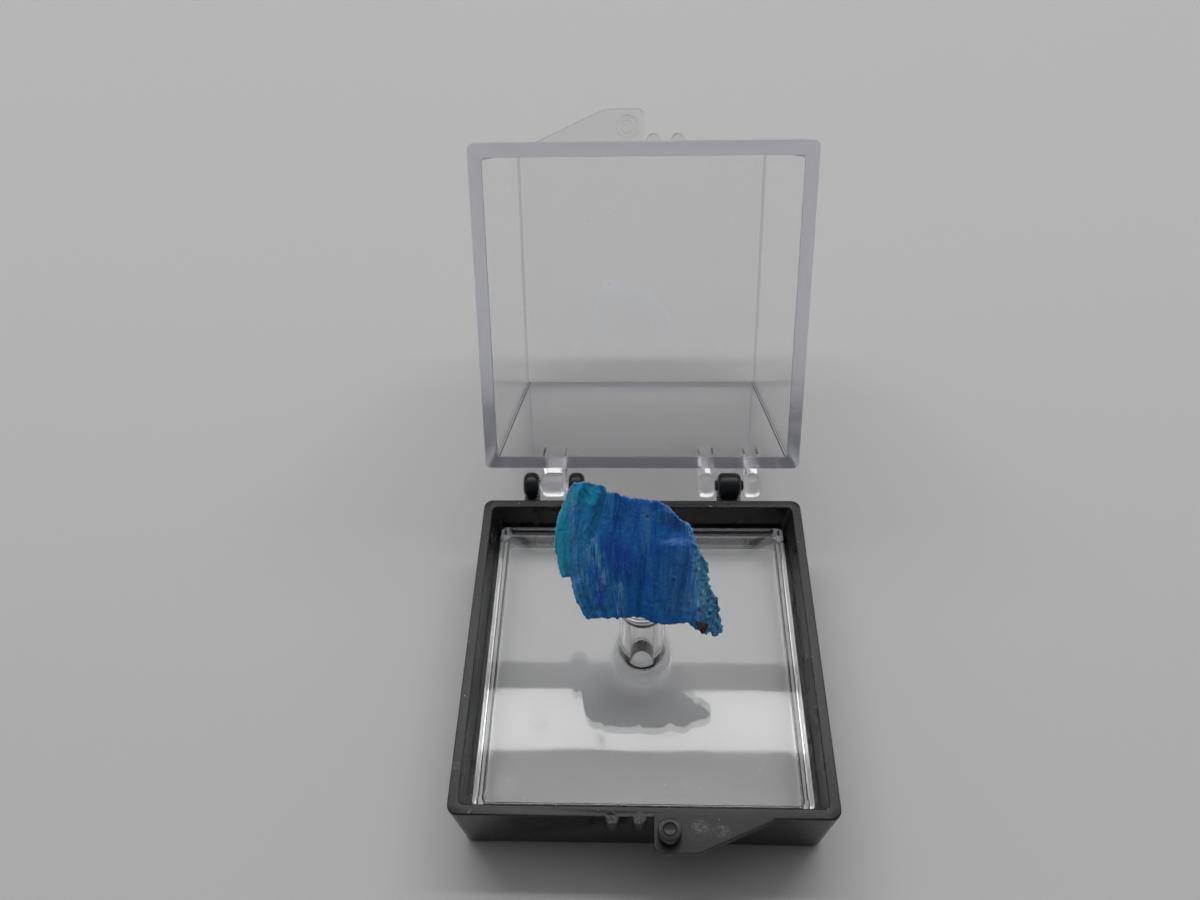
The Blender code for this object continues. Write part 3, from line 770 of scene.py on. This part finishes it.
def makeFragmentShape():
    outline = raggedOutline()
    bm = bmesh.new()
    face = bm.faces.new([bm.verts.new((u, v, -1)) for u, v in outline])
    grown = bmesh.ops.extrude_face_region(bm, geom=[face])["geom"]
    bmesh.ops.translate(bm, vec=(0, 0, 2), verts=[item for item in grown if isinstance(item, bmesh.types.BMVert)])
    bmesh.ops.triangulate(bm, faces=bm.faces[:])
    for axis, normal in enumerate(((1, 0, 0), (0, 1, 0))):
        low = min(point[axis] for point in outline)
        high = max(point[axis] for point in outline)
        spacing = fragment["spacing"] * (1.0 if axis == 0 else 1.8)
        for i in range(1, int((high - low) / spacing) + 1):
            at = [0, 0, 0]
            at[axis] = low + i * spacing
            bmesh.ops.bisect_plane(bm, geom=bm.verts[:] + bm.edges[:] + bm.faces[:], plane_co=at, plane_no=normal)
    for height in (-0.5, 0, 0.5):
        everything = bm.verts[:] + bm.edges[:] + bm.faces[:]
        bmesh.ops.bisect_plane(bm, geom=everything, plane_co=(0, 0, height), plane_no=(0, 0, 1))
    bmesh.ops.triangulate(bm, faces=bm.faces[:])

    leaned = Matrix.Translation(fragment["centre"]) @ Matrix.Rotation(fragment["lean"], 4, "X")
    seat = insert["pedestalTop"] + glue["height"] + 2 * glue["gap"]
    for vert in bm.verts:
        u, v, level = vert.co
        front, back = faceHeight(u, v), backHeight(u, v)
        under = leaned @ (Vector((u, v, back)) * mm)
        away = Vector((under.x, under.y - insert["pedestalY"])).length / insert["topRadius"]
        lift = max(0.0, seat - under.z) / (mm * cos(fragment["lean"])) * smoothStep(2.0, 1.4, away)
        back = min(back + lift, front - fragment["thinnest"])
        vert.co = Vector((u, v, back + (front - back) * (level + 1) / 2)) * mm
    return objectOf(bm, "chalcanthite")


# Fine fibres, flakes and pits, pushed along the normals of the dense mesh
def carveFibres(obj):
    bm = bmesh.new()
    bm.from_mesh(obj.data)
    bm.normal_update()
    moves = []
    for vert in bm.verts:
        u, v, w = vert.co / mm
        s = acrossFibres(u, v)
        broken = max(0.0, 1 - abs(vert.normal.z) * 1.4)
        rim = smoothStep(1.2, 0.2, 5.6 - v - 0.26 * max(0.0, u - 0.8) ** 1.9) * smoothStep(0.6, 1.7, u)
        crumbly = smoothStep(3.8, 5.0, u + 0.12 * v) + 0.7 * rim
        push = 0.045 * noise.noise(Vector((5.2 * s, 0.33 * v, 1.7 * w)))
        push += 0.03 * noise.noise(Vector((11.0 * s, 0.5 * v, 3.0 * w + 5)))
        flakes = noise.noise(Vector((2.6 * s, 0.8 * v, 2.0 * w + 11)))
        push += 0.05 * (round(3 * flakes) / 3 - flakes)
        push += 0.14 * broken * noise.noise(Vector((3.6 * u, 3.6 * v, 3.0 * w + 17)))
        push += 0.13 * min(1.0, crumbly) * noise.noise(Vector((3.4 * u, 2.8 * v, 3.4 * w + 23)))
        push += 0.06 * min(1.0, crumbly) * noise.noise(Vector((8.0 * u, 7.0 * v, 8.0 * w + 29)))
        push += 0.03 * noise.noise(Vector((7.0 * u, 7.0 * v, 7.0 * w + 31)))
        moves.append(vert.normal * push * mm)
    for vert, move in zip(bm.verts, moves):
        vert.co += move
    bm.to_mesh(obj.data)
    bm.free()


# Base colours of the stone, which also glows from within, because its light comes from behind
stone = {
    "blue": (0.004, 0.125, 0.45, 1),
    "teal": (0.01, 0.2, 0.47, 1),
    "cyan": (0.012, 0.4, 0.62, 1),
    "ultramarine": (0.006, 0.065, 0.42, 1),
    "azure": (0.002, 0.17, 0.52, 1),
    "dusk": (0.02, 0.14, 0.4, 1),
    "deep": (0.003, 0.06, 0.34, 1),
    "mist": (0.07, 0.27, 0.5, 1),
    "seaGreen": (0.06, 0.27, 0.42, 1),
    "paleFrostAndSheen": (0.25, 0.55, 0.78, 1),
    "rust": (0.05, 0.022, 0.014, 1),
    "darkBrown": (0.045, 0.04, 0.05, 1),
}


def chalcanthiteStone():
    values = {"IOR": 1.53, "Specular IOR Level": 0.35, "Subsurface Weight": 0.5, "Subsurface Radius": (0.2, 0.6, 1.0),
              "Subsurface Scale": 0.6 * mm}
    material, shader, start = newFinish("chalcanthiteStone", values)
    turn = Matrix.Rotation(-fragment["lean"], 3, "X")
    flat = start.node("Mapping", {}, {
        "Vector": objectPlace(start),
        "Scale": (1000, 1000, 1000),
        "Rotation": (-fragment["lean"], 0, 0),
        "Location": turn @ (fragment["centre"] * -1000),
    })
    u = start.node("SeparateXYZ", {}, {0: flat}, 0)
    v = start.node("SeparateXYZ", {}, {0: flat}, 1)
    w = start.node("SeparateXYZ", {}, {0: flat}, 2)
    bow = fragment["bow"] * (v - fragment["bowMiddle"]).power(2) * u.step(0.5, -5.5)
    fan = fragment["fan"] * (v - fragment["fanMiddle"]).power(2) * u.step(-2.0, 5.0)
    s = u - bow + fan

    def fibres(across, along, depth, seed, detail=2.0):
        place = start.node("CombineXYZ", {}, {0: s * across, 1: v * along, 2: w * depth + seed})
        return grain(start, place, 1.0, detail, 0.6)

    def speckles(scale, seed, detail=2.0):
        place = start.node("CombineXYZ", {}, {0: u * scale, 1: v * scale, 2: w * scale + seed})
        return grain(start, place, 1.0, detail, 0.6)

    broad = fibres(0.9, 0.12, 0.5, 0.0)
    middle = fibres(2.6, 0.22, 0.9, 4.0)
    thin = fibres(8.0, 0.5, 2.0, 9.0, 3.0)
    hair = fibres(20.0, 0.9, 4.0, 14.0, 2.0)
    mottled = speckles(1.1, 20.0, 3.0)
    crumbs = speckles(5.0, 60.0, 3.0)
    wobble = (speckles(2.6, 3.0) - 0.5) * 0.9

    # An oval patch with a ragged edge, turned by an angle in degrees
    def patch(centreU, centreV, radiusU, radiusV, soft=0.5, angle=0):
        c, d = cos(radians(angle)), sin(radians(angle))
        right, up = u - centreU, v - centreV
        far = ((right * c + up * d) / radiusU).power(2) + ((up * c - right * d) / radiusV).power(2)
        return (far + wobble).step(1.0 + soft, 1.0 - soft)

    colour = mixed((s + (broad - 0.5) * 2.4).step(-2.4, -4.4), stone["blue"], stone["teal"])
    colour = mixed(patch(-1.9, 0.9, 0.95, 1.7, 0.9, 35) * 0.9, colour, stone["ultramarine"])
    colour = mixed(patch(-3.7, -1.4, 0.6, 2.6, 0.8, 8) * 0.7, colour, stone["ultramarine"])
    colour = mixed(patch(1.3, 3.4, 1.0, 1.3, 0.8) * 0.8, colour, stone["azure"])
    colour = mixed(patch(-0.4, -2.7, 1.7, 1.6, 0.8) * 0.8, colour, stone["azure"])
    colour = mixed(patch(0.2, 3.2, 0.45, 1.9, 0.8) * 0.45, colour, stone["mist"])
    colour = mixed((u + (mottled - 0.5) * 1.6).step(0.9, 2.6) * v.step(2.6, 1.2) * 0.75, colour, stone["dusk"])
    colour = mixed((u + 0.12 * v + (middle - 0.5) * 1.2).step(4.0, 4.7) * 0.85, colour, stone["seaGreen"])
    # The cyan on the thin left strip is partly painted light: it is the stone's own paler colour there, and it also
    # stands in for light shining through the thin stone from behind.
    colour = mixed((u + 0.03 * v + (middle - 0.5) * 0.4).step(-5.9, -6.4), colour, stone["cyan"])
    # Pale streaks along the fibres: partly the fibres' own paler colour, partly a painted sheen standing in for the
    # soft highlights along them.
    streaks = (middle * 0.6 + thin * 0.4).step(0.47, 0.66)
    colour = mixed(streaks * 0.35 * (u.absolute().step(0.2, 2.0) * 0.7 + 0.3), colour, stone["mist"])
    colour = mixed((thin * 0.5 + middle * 0.5).step(0.47, 0.36) * 0.6, colour, stone["deep"])
    # The cyan at the upper left edge is partly painted light too, standing in for light shining through the stone's
    # edge.
    colour = mixed(patch(-5.0, 6.0, 1.4, 0.9, 0.8) * 0.75, colour, stone["cyan"])
    colour = mixed((mottled + crumbs * 0.5).step(0.82, 0.92) * 0.25, colour, stone["mist"])

    # Whitish veins along the fibres, a frosted ledge and a pale crumbly rim
    veins = (thin * 0.6 + hair * 0.4).step(0.5, 0.58)
    veined = patch(-4.1, 1.5, 0.45, 1.2, 0.9, -4) * 0.7 + patch(-3.7, 0.3, 0.4, 1.0, 0.9, -18) * 0.7
    veined = veined + patch(-3.35, -0.95, 0.35, 1.0, 0.9, -18) * 0.6 + patch(-1.9, -2.3, 0.45, 1.7, 0.9) * 0.6
    veined = veined + patch(4.1, -1.2, 0.6, 2.4, 0.9, -12) * 0.45 + patch(4.95, -2.6, 0.5, 1.6, 0.9, -14) * 0.6
    veined = veined + patch(-5.2, -1.8, 0.5, 2.4, 0.9, -14) * 0.35 + patch(-6.8, 1.6, 0.3, 1.7, 0.9) * 0.3
    ledge = patch(2.2, 2.2, 0.5, 0.12, 0.8, 14) * 0.6 + patch(3.5, 2.25, 0.35, 0.12, 0.8, 8) * 0.5
    rimLine = (5.45 - v - 0.26 * (u - 0.8).math("MAXIMUM", u - 0.8, 0.0).power(1.9)).step(0.9, 0.1) * u.step(1.4, 2.2)
    rimLine = rimLine + patch(-0.9, 5.5, 0.3, 0.14)
    frosted = veined * (0.03 + veins * 0.95) + (ledge * 0.5 + rimLine * 0.5) * crumbs.step(0.42, 0.62)
    colour = mixed(frosted, colour, stone["paleFrostAndSheen"])
    # Pale hairlines along the fibres: partly real pale fibres, partly a painted sheen standing in for fine highlights
    # along them.
    hairs = (hair * 0.6 + thin * 0.4).step(0.58, 0.68) * mottled.step(0.38, 0.6)
    colour = mixed(hairs * 0.4, colour, stone["paleFrostAndSheen"])
    crack = patch(-6.85, 3.16, 0.5, 0.06, 0.6) + patch(1.25, 2.49, 0.35, 0.09, 0.6) * 0.6
    colour = mixed(crack * 0.6, colour, stone["deep"])

    # Rusty dots, and the brown chip of matrix with its specks on the lower right
    spots = patch(0.36, 4.17, 0.16, 0.12) * 0.8 + patch(0.02, 4.45, 0.14, 0.1) * 0.4
    spots = spots + patch(-3.88, -3.4, 0.13, 0.1) * 0.4
    colour = mixed(spots, colour, stone["rust"])
    chip = (v + 0.31 * u + 3.03).step(0.14, 0.02) * (u + 0.42 * v - 2.4).step(0.0, 0.12)
    chip = chip * (u - 0.5 * v - 8.0).step(0.0, -0.15) * (7.5 - u).step(1.75, 1.9)
    chip = chip + patch(4.37, -0.17, 0.14, 0.2) * 0.7
    chip = chip + patch(4.71, -3.44, 0.2, 0.2) * 0.8 + patch(3.86, -2.87, 0.12, 0.14) * 0.5
    chip = chip + patch(5.7, -1.95, 0.16, 0.3, 0.5) * 0.8 + patch(6.25, -2.75, 0.16, 0.4, 0.5, 10) * 0.9
    chip = chip + patch(6.35, -3.75, 0.14, 0.35) * 0.9
    colour = mixed(chip, colour, stone["darkBrown"])

    height = thin * 0.6 + hair * 0.35 + speckles(9.0, 40.0, 3.0) * 0.35 + middle * 0.5
    linkTo(
        shader,
        colour=colour,
        roughness=0.38 + thin * 0.2 + (spots + chip) * 0.25,
        normal=bumped(height, 0.05 * mm, 0.7),
    )
    return material


def makeFragment():
    body = makeFragmentShape()
    remesh = body.modifiers.new("dense", "REMESH")
    remesh.mode = "VOXEL"
    remesh.voxel_size = fragment["voxel"]
    applyModifiers(body)
    carveFibres(body)
    place = Matrix.Translation(fragment["centre"]) @ Matrix.Rotation(fragment["lean"], 4, "X")
    body.data.transform(place)
    body.data.materials.clear()
    body.data.materials.append(chalcanthiteStone())
    body.data.shade_smooth()
    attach(body, "tray")
    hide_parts("chalcanthite")
    print("piece:", body.name, len(body.data.polygons), "faces")


setStage()
makeTray()
makeLid()
makeCard()
makeInsert()
makeGlue()
makeFragment()
